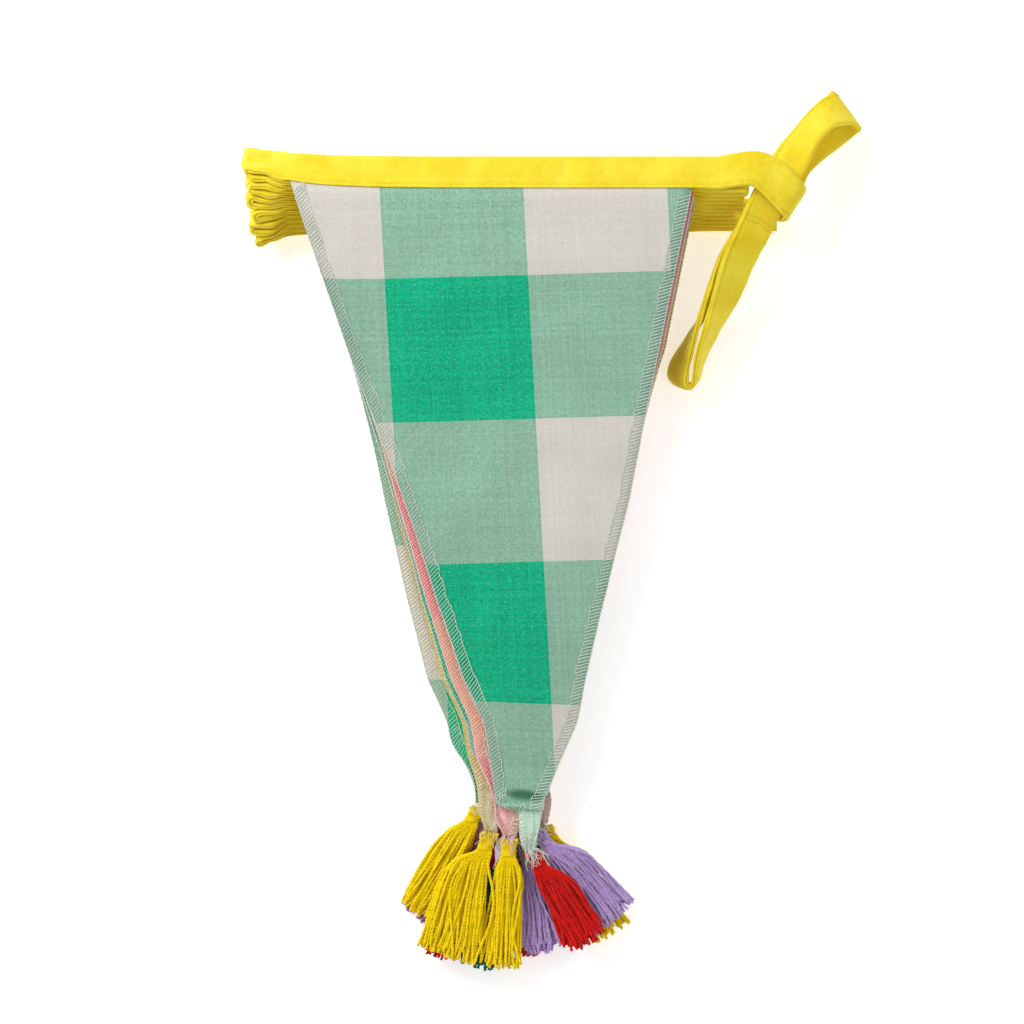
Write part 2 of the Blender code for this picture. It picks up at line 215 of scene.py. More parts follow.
def blend(amount, first, second, kind="MIX"):
    return addNode("ShaderNodeMix", {0: amount, 6: first, 7: second}, data_type="RGBA", blend_type=kind)[2]


def newGroup(name, kind, inputs, outputs):
    tree = bpy.data.node_groups.new(name, kind)
    for direction, sockets in (("INPUT", inputs), ("OUTPUT", outputs)):
        for label, socketType in sockets.items():
            tree.interface.new_socket(label, in_out=direction, socket_type=f"NodeSocket{socketType}")
    return tree, tree.nodes.new("NodeGroupInput").outputs, tree.nodes.new("NodeGroupOutput").inputs


def alongCurve(tree):
    tangent = addNode("GeometryNodeInputTangent", tree=tree)[0]
    return addNode("FunctionNodeAlignRotationToVector", {"Vector": tangent}, axis="X")[0]


def spacedOut(curve, length):
    return addNode("GeometryNodeResampleCurve", {"Curve": curve, "Length": length}, mode="LENGTH")[0]


def circleOf(sides, radius):
    return addNode("GeometryNodeCurvePrimitiveCircle", {"Resolution": sides, "Radius": radius})[0]


def swept(curve, section, caps=True):
    return addNode("GeometryNodeCurveToMesh", {"Curve": curve, "Profile Curve": section, "Fill Caps": caps})[0]


def finishTree(tree, given, result, geometry):
    real = addNode("GeometryNodeRealizeInstances", [geometry])[0]
    inputs = {"Geometry": real, "Material": given["Material"]}
    connect(addNode("GeometryNodeSetMaterial", inputs)[0], result["Geometry"])
    return tree


def geometryGroup(name, sizes, **more):
    inputs = {"Geometry": "Geometry", **dict.fromkeys(sizes, "Float"), **more, "Material": "Material"}
    return newGroup(name, "GeometryNodeTree", inputs, {"Geometry": "Geometry"})


# woven cloth and yarn

weaveLook = dict(
    threadShare=0.35,  # of one thread's own brightness against its slubs'
    slubAcross=3.7, slubAlong=0.7, cloudScale=0.9, cloudShare=1.4,
)


def wovenThreads():
    # plain weave of two sets of uneven threads, where one set shows more than the other from spot to spot
    tree, given, result = newGroup(
        "wovenThreads", "ShaderNodeTree",
        {"Place": "Vector", "Pitch": "Float", "Down threads": "Color", "Cross threads": "Color", "Mottle": "Float",
         "Heather": "Float"},
        {"Color": "Color", "Height": "Float"},
    )
    look = weaveLook
    place = addNode("ShaderNodeSeparateXYZ", [given["Place"]])
    across, down = [calc("DIVIDE", place[axis], given["Pitch"]) for axis in (0, 1)]
    threads = [calc("FLOOR", value) for value in (across, down)]
    crossing = {"Vector": vectorOf(*threads, 0.0)}
    onTop = addNode("ShaderNodeTexWhiteNoise", crossing, noise_dimensions="2D")["Value"]
    mottle = times(calc("SUBTRACT", onTop, 0.5), given["Mottle"])
    cloth = blend(plus(0.5, mottle), given["Down threads"], given["Cross threads"])
    uneven = mottle
    for thread, along, seed in zip(threads, (place[1], place[0]), (3.0, 71.0)):
        own = addNode("ShaderNodeTexWhiteNoise", {"W": plus(thread, seed)}, noise_dimensions="1D")["Value"]
        streak = vectorOf(times(thread, look["slubAcross"]), times(along, look["slubAlong"]), seed)
        part = plus(times(own, look["threadShare"]), cloudy(streak, 1.0, 1.0))
        uneven = plus(uneven, calc("SUBTRACT", part, 0.5 + look["threadShare"] / 2))
    clouds = calc("SUBTRACT", cloudy(given["Place"], look["cloudScale"], 2.0), 0.5)
    uneven = plus(uneven, times(clouds, look["cloudShare"]))
    brightness = plus(1.0, times(uneven, given["Heather"]))
    connect(scaledBy(cloth, brightness), result["Color"])
    humps = [calc("SINE", times(calc("FRACT", value), pi)) for value in (across, down)]
    connect(plus(times(*humps), onTop), result["Height"])
    return tree


def checks():
    # masks of the coloured stripes down and across a gingham
    labels = ("Down stripe", "Cross stripe")
    tree, given, result = newGroup(
        "checks", "ShaderNodeTree", {"Place": "Vector", "Check": "Float"}, dict.fromkeys(labels, "Float"),
    )
    place = addNode("ShaderNodeSeparateXYZ", [given["Place"]])
    double = times(given["Check"], 2.0)
    for index, label in enumerate(labels):
        part = calc("FRACT", calc("DIVIDE", place[index], double))
        connect(calc("LESS_THAN", part, 0.5), result[label])
    return tree


weaveGroup = wovenThreads()
checksGroup = checks()


def groupNode(group, **values):
    inputs = {key.replace("_", " "): value for key, value in values.items()}
    return addNode("ShaderNodeGroup", inputs, node_tree=group)


def newMaterial(name, roughness, sheen):
    made = bpy.data.materials.new(name)
    made.use_nodes = True
    shader = made.node_tree.nodes["Principled BSDF"].inputs
    shader["Roughness"].default_value = roughness
    shader["Sheen Weight"].default_value = sheen
    shader["Sheen Roughness"].default_value = 0.6
    shader["Specular IOR Level"].default_value = 0.12
    return made, made.node_tree, shader


def bumpFrom(height, strength, distance, below=None):
    inputs = {"Strength": strength, "Distance": distance, "Height": height, "Normal": below}
    return addNode("ShaderNodeBump", inputs)[0]


def clothPlace(tree):
    # the cloth's own flat coordinates, in millimetres
    return scaledBy(addNode("ShaderNodeUVMap", tree=tree, uv_map="cloth")[0], 1 / mm)


ginghamLook = dict(
    check=50.0,  # mm
    threadPitch=0.36, mottle=0.2, heather=0.13, colouredHeather=0.34, speckScale=1.6, speckFrom=0.55, specks=0.9,
    light=srgb(208, 203, 193),
    threads={  # down and cross threads of the coloured stripes, and what tints the mixed checks
        "green": (srgb(8, 172, 127), srgb(8, 172, 127), (0.82, 0.91, 0.91, 1)),
        "red": (srgb(240, 150, 132), srgb(222, 108, 146), (1.06, 0.92, 0.74, 1)),
        "lilac": (srgb(150, 120, 190), srgb(140, 112, 184), (0.95, 0.95, 0.95, 1)),
        "yellow": (srgb(222, 198, 124), srgb(222, 204, 140), (0.97, 0.96, 0.95, 1)),
    },
)


def ginghamMaterial(colour):
    look = ginghamLook
    made, tree, shader = newMaterial(f"gingham {colour}", 0.9, 0.04)
    place = clothPlace(tree)
    stripes = groupNode(checksGroup, Place=place, Check=look["check"])
    stripes = [stripes["Down stripe"], stripes["Cross stripe"]]
    # where only one set is coloured the pale set looks darker between its threads
    *colours, mixedTint = look["threads"][colour]
    tint = blend(calc("ABSOLUTE", calc("SUBTRACT", *stripes)), (1, 1, 1, 1), mixedTint)
    specks = calc("SUBTRACT", cloudy(place, look["speckScale"], 2.0), look["speckFrom"])
    specks = times(calc("MAXIMUM", specks, 0.0), look["specks"])
    threads = []
    for stripe, dark in zip(stripes, colours):
        speckled = blend(specks, dark, look["light"])
        threads.append(blend(1.0, blend(stripe, look["light"], speckled), tint, "MULTIPLY"))
    heather = plus(times(plus(*stripes), look["colouredHeather"] / 2), look["heather"])
    weave = groupNode(
        weaveGroup, Place=place, Pitch=look["threadPitch"], Down_threads=threads[0],
        Cross_threads=threads[1], Mottle=look["mottle"], Heather=heather,
    )
    # the tone attribute multiplies in the paler worn tips and the painted light and shade from toneAt
    tone = addNode("ShaderNodeAttribute", tree=tree, attribute_name="tone")["Color"]
    connect(blend(1.0, weave["Color"], tone, "MULTIPLY"), shader["Base Color"])
    connect(bumpFrom(weave["Height"], 0.35, 0.00008), shader["Normal"])
    return made


tapeLook = dict(
    # shade: a darker yellow, painted shade that follows the wrinkles
    threads=srgb(244, 224, 60), shade=srgb(231, 203, 22), threadPitch=0.34, mottle=0.2, heather=0.08,
    wrinkle=0.0022, wrinkleScale=95.0,
)


def tapeMaterial():
    look = tapeLook
    made, tree, shader = newMaterial("yellow tape", 0.8, 0.1)
    # painted shade: the noise that bumps the wrinkles also turns the yellow towards its shade colour
    drag = cloudy(ownPlace(tree), look["wrinkleScale"], 3.0)
    share = addNode("ShaderNodeMapRange", [drag, 0.26, 0.74, 0.0, 1.0])[0]
    tone = blend(share, look["threads"], look["shade"])
    weave = groupNode(
        weaveGroup, Place=clothPlace(tree), Pitch=look["threadPitch"], Down_threads=tone, Cross_threads=tone,
        Mottle=look["mottle"], Heather=look["heather"],
    )
    connect(weave["Color"], shader["Base Color"])
    soft = bumpFrom(drag, 0.8, look["wrinkle"])
    connect(bumpFrom(weave["Height"], 0.25, 0.00007, soft), shader["Normal"])
    return made


yarnLook = dict(
    turns=3.2,  # fine twist, turns per cm
    fuzzScale=1400.0, twistShade=0.15,
    colours={
        "yellow": (srgb(255, 238, 0), srgb(255, 218, 0)),
        "red": (srgb(246, 42, 30), srgb(208, 6, 8)),
        "lilac": (srgb(216, 190, 236), srgb(178, 148, 208)),
        "teal": (srgb(30, 148, 124), srgb(10, 98, 84)),
    },
)


def yarnMaterial(colour):
    light, dark = yarnLook["colours"][colour]
    made, tree, shader = newMaterial(f"yarn {colour}", 0.95, 0.05)
    shader["Diffuse Roughness"].default_value = 0.8
    along, around = [
        addNode("ShaderNodeAttribute", tree=tree, attribute_name=name)["Fac"] for name in ("along", "around")
    ]
    lay = plus(times(along, yarnLook["turns"] * 100), times(around, 2.0))
    wave = calc("SINE", times(lay, 2 * pi))
    fuzz = cloudy(ownPlace(tree), yarnLook["fuzzScale"], 2.0)
    shade = plus(times(wave, yarnLook["twistShade"]), fuzz)
    connect(blend(shade, dark, light), shader["Base Color"])
    connect(bumpFrom(plus(wave, fuzz), 0.35, 0.00012), shader["Normal"])
    return made


def threadMaterial(name, *colour):
    made, tree, shader = newMaterial(name, 0.75, 0.1)
    ply = cloudy(ownPlace(tree), 2200.0, 1.0)
    bright = srgb(*colour)
    dull = tuple(part * 0.82 for part in bright[:3]) + (1.0,)
    connect(blend(ply, dull, bright), shader["Base Color"])
    connect(bumpFrom(ply, 0.3, 0.0001), shader["Normal"])
    return made


# the folded pile, in the solids' own measures

pile = dict(
    count=12, tapeWidth=13.0, tapeThick=2.2, foldPitch=2.6, headingY=119.0, leanLeft=57.0, leanRight=28.0,
    leanFade=14.0, leftEnd=-107.0, rightEnd=67.0, leftStep=0.75, rightStep=0.5,
    uneven=(0.0, 1.0, -0.2, 0.8, -0.8, 0.5), firstRunEnd=58.0, lastRunEnd=79.0, layPitch=1.45, lowestLay=0.5,
    layWaves=((0.035, 17, 41, 0), (0.03, -60, 23, 1)),  # share of the height, mm across and down, start
    settle=105.0, crease=3.0,
)
topRun = (pile["count"] - 1) / 2 * pile["foldPitch"]


def leanAt(x):
    fade = exp((pile["leftEnd"] - x) / pile["leanFade"])
    return radians(mix(pile["leanRight"], pile["leanLeft"], fade))


def pilePoint(x, width, stack):
    lean = leanAt(x)
    floor = pile["tapeWidth"] / 2 * sin(lean) + (topRun + pile["tapeThick"] / 2) * cos(lean)
    return Vector((
        x,
        pile["headingY"] + width * cos(lean) + stack * sin(lean),
        floor - width * sin(lean) + stack * cos(lean),
    ))


def runHeight(index):
    return topRun - index * pile["foldPitch"]


# pennants

pennantColumns = "colour lean topShift gatherTop gatherEnd strip checkX checkY".split()
pennantRows = (  # from the top of the pile down
    ("green", 0, 0, -92.6, -96.2, 3.7, 50, 0),
    ("red", -4.6, 1.2, -76, -97, 5.2, 68, 70),
    ("green", -6.4, 0.6, -74, -98, 3.6, 68, 7),
    ("yellow", -7.7, 2.2, -74, -96, 4, 68, 22),
    ("green", -12.9, 1.4, -70, -92, 2.6, 36.5, 43),
    ("red", -8.6, 1.2, -70, -90, 2.6, 21, 30),
    ("lilac", -6, 0.6, -72, -94, 2.8, 68, 80),
    ("yellow", -10, 1.9, -72, -96, 3.4, 55, 60),
    ("green", -7.2, 1, -72, -96, 3.4, 34, 12),
    ("red", -4.4, 1.4, -72, -96, 3, 86, 41),
    ("lilac", -8.5, 0.4, -72, -96, 2.5, 72, 70),
    ("yellow", -6, 1.2, -68, -88, 3, 16, 27),
)
tasselColumns = "tassel level headX headY headZ endX endY endHalf bow".split()
tasselRows = (  # one for each pennant, in the same order
    ("red", 2, -5.6, -113.8, 17.8, 12.2, -142.8, 6.8, 1),
    ("yellow", 2, -15.1, -109.9, 16.2, -17.2, -151, 6, 0),
    ("lilac", 1, -3.4, -106.8, 13, 21.7, -134.4, 8.5, 1.5),
    ("yellow", 2, -22.8, -107.8, 14.8, -35.7, -147.4, 10.5, -3.2),
    ("yellow", 1, -27, -98.5, 10.2, -47.4, -132, 6.8, -1),
    ("red", 1, -21.4, -107.2, 8.4, -40.6, -147.4, 5.6, 0.6),
    ("teal", 1, -14.8, -111.3, 10.2, -26.6, -150.9, 6, 0.4),
    ("lilac", 1, -8.4, -114.6, 8.4, -5, -146, 7.2, 0),
    ("red", 0, -12.8, -113.4, 4, -6.7, -147, 4.6, 0),
    ("yellow", 0, -1.2, -105.5, 4, 20.2, -140.2, 7, 0),
    ("teal", 0, -6.2, -113.2, 3.3, 4.9, -142.1, 4.6, 0),
    ("lilac", 0, -25.2, -103, 2.9, -46.2, -134.6, 6.5, 0),
)
edgePoints = (  # height on the page, then the first pennant's left and right edge there
    (120, -91, 48.4), (64, -71.4, 37.1), (11.5, -51.8, 26.9), (-22, -40.7, 18.5), (-50, -31.2, 12),
    (-66, -23.9, 8.7), (-84, -21, 1), (-94, -19.2, -2.6), (-112, -14, -8),
)

cloth = dict(
    columns=30, rows=84, tipRows=46,
    seamRows=(-1.0, -0.5),  # shares of the reach inside the tape
    tipFrom=0.88, crowding=0.3, edgeRounding=0.4, leanFrom=64.0, leanOver=117.0, leanPower=0.75, shiftOver=40,
    lowest=0.74,  # mm, of the bottom pennant's middle
    thick=0.75, edgeThick=1.0, edgeShare=0.06, seamThick=0.7, seamReach=6.6, tipHalf=2.2, tipTaper=7.0,
    pastHead=4.0, turnFrom=0.9, tipRiseY=-90.0,
    wave=0.2,  # mm, between two layers
    topWave=2.0, topSwell=0.4, waveFade=30,
    waves=((1.0, 28, 25, 7.3), (0.4, 11, 13, 3.1)),  # share, mm across and down, step from layer to layer
    gather=0.35,  # the pleats of a gathered tip
    pleats=(15, 2.1, 0.8, 5), pleatFade=4,
    flat=(0.146, 0.25),  # metres, as cut
    flatArea=0.0178,
)
tipFold = dict(
    x=-10, y=-94.6, slope=0.1, wide=1.3, rise=1.9, over=1.3, dip=0.95, dipX=-9.5, dipY=3.2, dipWide=5, dipHigh=1.5,
)
grain = dict(lineX=-3.46, lineSlope=-0.055, tilt=(-0.04, 0.03), tiltAt=(-58, 50), rowY=40.5)
tones = dict(  # what the gingham's colour is multiplied by: paler worn tips, painted light and painted shade
    below=(1.22, 1.16, 1.08),  # painted light: the lower pennants are made lighter against the shade of the layers above them, and a little warmer
    worn={  # how much paler their tips are
        "green": (1.3, 1.2, 1.25), "red": (1.1, 1.8, 1.7), "lilac": (1.2, 1.2, 1.15), "yellow": (1.15, 1.22, 1.4),
    },
    # hollow and its sizes: painted shade, dark green, in the hollow above the front pennant's fold
    wornAt=(0.9, 0.07), front=(1.05, 0.94), frontAt=(0.3, 0.45), hollow=(0.08, 0.3, 0.22), hollowWide=6.3,
    # pale: the cloth below the front's fold, paler in itself and made lighter still as painted light against the
    # shade of its steep slope
    hollowHigh=1.9, hollowShadeShare=0.85, pale=(2.4, 1.85, 2.0), paleAt=(-95.2, -3),
)

pennants = [
    dict(zip(pennantColumns + tasselColumns, pennantRow + tasselRow))
    for pennantRow, tasselRow in zip(pennantRows, tasselRows)
]
for pennant in pennants:
    head, end = [Vector((pennant[name + "X"], pennant[name + "Y"])) for name in ("head", "end")]
    reach = end - head
    pennant["reach"] = reach.length
    pennant["turn"] = atan2(reach.x, -reach.y)
    pennant["tip"] = head - reach.normalized() * cloth["pastHead"]


def edgesAt(y):
    # the first pennant's left and right edge
    last = len(edgePoints) - 2
    index = next((number for number in range(last) if y >= edgePoints[number + 1][0]), last)
    upper, lower = edgePoints[index], edgePoints[index + 1]
    before, after = edgePoints[max(0, index - 1)], edgePoints[min(last + 1, index + 2)]
    amount = (upper[0] - y) / (upper[0] - lower[0])
    rounding = 0.0 if index in (0, last) else cloth["edgeRounding"]
    found = []
    for side in (1, 2):
        straight = mix(upper[side], lower[side], amount)
        rounded = curveThrough(before[side], upper[side], lower[side], after[side], amount)
        found.append(mix(straight, rounded, rounding))
    return found


def pennantOutline(pennant, y):
    # middle and half width as the pennant lies and as it was cut, and how far it is gathered there
    left, right = edgesAt(y)
    lean = max(0.0, min(1.0, (cloth["leanFrom"] - y) / cloth["leanOver"])) ** cloth["leanPower"]
    shift = pennant["lean"] * lean + pennant["topShift"] * smooth(y / cloth["shiftOver"])
    flatMiddle, flatHalf = (left + right) / 2 + shift, (right - left) / 2
    tip = pennant["tip"]
    gathered = smooth((pennant["gatherTop"] - y) / (pennant["gatherTop"] - pennant["gatherEnd"]))
    half = mix(flatHalf, pennant["strip"], gathered)
    half = mix(half, cloth["tipHalf"], smooth((tip.y + cloth["tipTaper"] - y) / cloth["tipTaper"]))
    return mix(flatMiddle, tip.x, gathered), half, flatMiddle, flatHalf, gathered


def layHeight(index, x, y):
    level = (pile["count"] - 1 - index) * pile["layPitch"]
    wave = sum(size * sin(x / across + y / down + start) for size, across, down, start in pile["layWaves"])
    return pile["lowestLay"] + level * (1 + wave)


def ripple(x, y, z):
    return noise.noise(Vector((x, y, z)))


def pennantPoint(index, column, row):
    # a point of the cloth's middle, and where it is on the flat cloth
    pennant = pennants[index]
    stack, tip = runHeight(index), pennant["tip"]
    lower = -pile["tapeWidth"] / 2
    down = max(0.0, row)
    typical = mix(pilePoint(0, lower, stack).y, tip.y, down)
    middle, half, flatMiddle, flatHalf, gathered = pennantOutline(pennant, typical)
    side = half * (2 * column - 1)
    turn = pennant["turn"] * smooth((down - cloth["turnFrom"]) / (1 - cloth["turnFrom"]))
    x = middle + side * cos(turn)
    flatX = flatMiddle + flatHalf * (2 * column - 1)
    if row < 0:
        inside = -row * cloth["seamReach"]
        return pilePoint(x, lower + inside, stack), (flatX, typical + inside)
    leaving = pilePoint(x, lower, stack)
    y = mix(leaving.y, tip.y, down) + side * sin(turn)
    below = leaving.y - y
    height = mix(leaving.z, layHeight(index, x, y), smooth(below / pile["settle"]))
    height += tan(leanAt(x)) * below * exp(-below / pile["crease"])
    rise = cloth["tipRiseY"]
    height = mix(height, pennant["headZ"], smooth((rise - y) / (rise - tip.y)))
    free = smooth(below / cloth["waveFade"]) * smooth((y - tip.y) / cloth["waveFade"])
    reach, swell = (cloth["wave"], 0.0) if index else (cloth["topWave"], cloth["topSwell"])
    rippled = sum(share * ripple(x / wide, y / long, index * step) for share, wide, long, step in cloth["waves"])
    height += reach * free * (rippled + swell)
    often, shifted, wander, wanderLength = cloth["pleats"]
    pleats = sin(column * often + index * shifted + wander * sin(y / wanderLength + index))
    height += cloth["gather"] * gathered * pleats * smooth((y - tip.y) / cloth["pleatFade"])
    if index == 0:
        # the front pennant's tip rolls over before it narrows
        fold = tipFold
        apart = (y - fold["y"] + fold["slope"] * (x - fold["x"])) / fold["wide"]
        away = ((apart * fold["wide"] - fold["dipY"]) / fold["dipHigh"]) ** 2
        hollow = exp(-away - ((x - fold["dipX"]) / fold["dipWide"]) ** 2)
        height += fold["rise"] * exp(-apart * apart) - fold["dip"] * hollow
        y -= fold["over"] * exp(-((apart - 0.5) ** 2))
    if index == pile["count"] - 1:
        height = max(height, cloth["lowest"])
    return Vector((x, y, height)), (flatX, typical)


def flatPlace(pennant, flatX, flatY):
    # where the gingham's own grid puts this point: the cloth was cut a little off its grain
    line = grain["lineX"] + grain["lineSlope"] * flatY
    tilt = mix(*grain["tilt"], ramp(flatY, *grain["tiltAt"]))
    across = flatX - line + pennant["checkX"]
    down = flatY - flatX * tilt - grain["rowY"] + pennant["checkY"]
    return across * mm, down * mm


def clothRows():
    # down the cloth from inside the tape to the tip, closer together near both ends
    downs = list(cloth["seamRows"])
    for step in range(cloth["rows"]):
        part = step / cloth["rows"]
        downs.append(cloth["tipFrom"] * mix(part, smooth(part), cloth["crowding"]))
    for step in range(cloth["tipRows"] + 1):
        downs.append(mix(cloth["tipFrom"], 1.0, step / cloth["tipRows"]))
    return downs


def toneAt(index, column, down):
    # paler worn tips; painted light on the lower pennants; and at the front painted shade, dark green, in the
    # hollow above the fold, with paler cloth below it that is partly painted light
    if index:
        worn = ramp(down, *tones["wornAt"])
        # painted light: tones below lifts the lower pennants out of the shade of those above
        pairs = zip(tones["below"], tones["worn"][pennants[index]["colour"]])
        return (*(mix(low, high, worn) for low, high in pairs), 1)
    if down < cloth["tipFrom"]:
        # the front pennant is a little lighter near the top and darker towards the bottom
        even = mix(*tones["front"], ramp(down, *tones["frontAt"]))
        return (even, even, even, 1)
    point = pennantPoint(index, column, down)[0]
    across = (point.x - tipFold["dipX"]) / tones["hollowWide"]
    above = point.y + tipFold["slope"] * (point.x - tipFold["x"]) - tipFold["y"] - tipFold["dipY"]
    # painted shade: the cloth is darkened to dark green in the hollow above the fold
    hollowShade = tones["hollowShadeShare"] * smooth(1.5 - hypot(across, above / tones["hollowHigh"]))
    # below the fold the cloth is paler, partly its own colour and partly painted light against the shade of its
    # steep slope
    pale = ramp(point.y, *tones["paleAt"])
    pairs = zip(tones["hollow"], tones["pale"])
    return (*(mix(mix(1.0, low, hollowShade), high, pale) for low, high in pairs), 1)


def makePennant(index, surface):
    columns = cloth["columns"]
    grid = [[(index, column / columns, down) for column in range(columns + 1)] for down in clothRows()]
    found = [[pennantPoint(*where) for where in row] for row in grid]
    name = f"pennant{index + 1:02d}"
    mesh = gridMesh(name, [[placed(point) for point, flat in row] for row in found])
    mapCloth(mesh, [[flatPlace(pennants[index], *flat) for point, flat in row] for row in found])
    # tone: paler worn tips with painted light and painted shade
    toned = mesh.color_attributes.new("tone", "FLOAT_COLOR", "POINT").data
    for number, where in enumerate(where for row in grid for where in row):
        toned[number].color = toneAt(*where)
    mesh.flip_normals()
    made = addObject(name, mesh, surface)
    group = made.vertex_groups.new(name="thickness")
    for number in range(len(mesh.vertices)):
        row, column = divmod(number, columns + 1)
        nearEdge = min(column, columns - column) / columns
        share = mix(cloth["edgeThick"], cloth["thick"], smooth(nearEdge / cloth["edgeShare"])) / cloth["edgeThick"]
        group.add([number], share if row > len(cloth["seamRows"]) else cloth["seamThick"], "REPLACE")
    solid = made.modifiers.new("thickness", "SOLIDIFY")
    solid.thickness = cloth["edgeThick"] * mm
    solid.offset = 0
    solid.vertex_group = group.name
    return plainMesh(made, name)


# overlocked edges

overlock = dict(
    sizes={  # mm, the pitch from one pair of threads to the next
        "Pitch": 2.45, "Reach": 3.8, "Slant": 2.3, "Thread": 0.165, "Lift": 0.58, "Bow": 0.16, "Edge": 0.2,
    },
    redSizes={"Pitch": 2.0, "Thread": 0.23},
    pair=((0.0, -1.0), (0.42, -0.86)),  # start as a share of the pitch, end as one of the slant
    wrap=2.2, line=1.6, uneven=(0.88, 1.08), sides=3,
    first=0.014,  # share of the edge's length, next to the tape, without stitches
    steps=150,
    threads={
        "green": (226, 237, 224), "red": (255, 220, 212), "lilac": (224, 214, 236), "yellow": (238, 224, 164),
    },
)


def overlockTree():
    # pairs of slanted threads from the edge to the needle line, a wrap round the edge and the two lines
    tree, given, result = geometryGroup("overlockStitches", overlock["sizes"], Seed="Int")
    pitch, reach, slant, lift, edge = [given[name] for name in ("Pitch", "Reach", "Slant", "Lift", "Edge")]
    high, under, rim, halfPitch = plus(lift, given["Bow"]), times(lift, -1.0), times(edge, -0.5), times(pitch, 0.5)
    lines = []
    for startShare, endShare in overlock["pair"]:
        start = times(pitch, startShare)
        end = plus(start, times(slant, endShare))
        between = times(plus(start, end), 0.5)
        lines.append(((start, rim, lift), (between, times(reach, 0.5), high), (end, reach, lift)))
        lines.append(((start, rim, lift), (start, times(edge, -overlock["wrap"]), 0.0), (start, rim, under)))
    needle = times(slant, -1.0)
    nextNeedle = (plus(needle, pitch), reach, lift)
    lines.append(((needle, reach, lift), (plus(needle, halfPitch), plus(reach, edge), high), nextNeedle))
    lines.append(((0.0, 0.0, lift), (halfPitch, times(edge, overlock["line"]), lift), (pitch, 0.0, lift)))
    joined = tree.nodes.new("GeometryNodeJoinGeometry")
    for line in lines:
        start, bend, end = [vectorOf(*spot) for spot in line]
        inputs = {"Resolution": 3, "Start": start, "Middle": bend, "End": end}
        connect(addNode("GeometryNodeCurveQuadraticBezier", inputs)[0], joined.inputs[0])
    stitch = swept(joined.outputs[0], circleOf(overlock["sides"], given["Thread"]), False)
    inward, share = [
        addNode("GeometryNodeInputNamedAttribute", {"Name": name}, tree, data_type=kind)[0]
        for name, kind in (("inward", "FLOAT_VECTOR"), ("reach", "FLOAT"))
    ]
    inputs = {2: overlock["uneven"][0], 3: overlock["uneven"][1], 8: given["Seed"]}
    uneven = addNode("FunctionNodeRandomValue", inputs, data_type="FLOAT")[1]
    inputs = {"Rotation": alongCurve(tree), "Vector": inward}
    level = addNode("FunctionNodeAlignRotationToVector", inputs, axis="Y", pivot_axis="X")[0]
    return finishTree(tree, given, result, addNode("GeometryNodeInstanceOnPoints", {
        "Points": spacedOut(addNode("GeometryNodeMeshToCurve", [given["Geometry"]])[0], pitch),
        "Instance": addNode("GeometryNodeSetShadeSmooth", [stitch])[0],
        "Rotation": level, "Scale": vectorOf(uneven, times(share, uneven), 1.0),
    })[0])


def edgeGuide(index, side, name):
    # a line of points down one edge of a pennant, or up the right one
    steps, found = overlock["steps"], []
    for step in range(steps + 1):
        down = mix(overlock["first"], 1.0, step / steps)
        edge = pennantPoint(index, side, down)[0]
        inward = pennantPoint(index, mix(side, 0.5, 0.1), down)[0] - edge
        reach = min(1.0, inward.length * 10 / 1.1 / overlock["sizes"]["Reach"])
        found.append((placed(edge), inward.normalized(), reach))
    if side == 1:
        found.reverse()
    points, inwards, reaches = zip(*found)
    mesh = bpy.data.meshes.new(name)
    mesh.from_pydata(points, [(number, number + 1) for number in range(steps)], [])
    flat = [part for inward in inwards for part in inward]
    mesh.attributes.new("inward", "FLOAT_VECTOR", "POINT").data.foreach_set("vector", flat)
    mesh.attributes.new("reach", "FLOAT", "POINT").data.foreach_set("value", reaches)
    return addObject(name, mesh)


def makeOverlock(index, tree, thread):
    sizes = {**overlock["sizes"], **(overlock["redSizes"] if pennants[index]["colour"] == "red" else {})}
    made = []
    for side in (0, 1):
        name = f"overlock{index + 1:02d}{'LR'[side]}"
        guide = edgeGuide(index, side, f"edgeGuide{side}")
        made.append(grown(guide, name, tree, inMetres(sizes), Seed=2 * index + side, Material=thread))
    return made


# tape

tape = dict(
    slotDepth=7.0, slotWidth=1.3, slotLeft=(-95, 3), slotRight=(53, -3),
    slotEntry=((-6.45, 0.1), (-6.1, 0.0)),  # across the tape, and how much wider the slot is there
    slotNarrows=0.8, grooveWidth=0.05, grooveDepth=3.4, edgeRound=0.36, roundAt=(-5.9, -0.6), runStep=3.0,
    runCrowding=1.3, foldSteps=10, tieSplits=9, tieLoosens=20, tieTightens=90, leastSlant=0.75, swell=(0.07, 0.34),
    swellSize=(6.0, 5.0), pucker=0.10, puckerSize=(1.9, 2.5), puckerAt=(-3.5, -2), bunch=1.3, bunchAt=(-91, -7),
    bunchSize=(6, 4.5, 4.5), sag=3.5, sagX=(-89, -15), sagY=(128, -25), flat=(0.028, 2.4),
    # across the tape from its open edge to its fold, and how thick half of it is there
    profile=(
        (-6.5, 0.86), (-6.2, 1.05), (-5.5, 1.05), (-5.1, 0.80), (-4.7, 1.0), (-3.6, 1.1), (-1.4, 1.12),
        (1.4, 1.12), (3.8, 1.1), (5.4, 1.04), (6.1, 0.86), (6.4, 0.5),
    ),
)
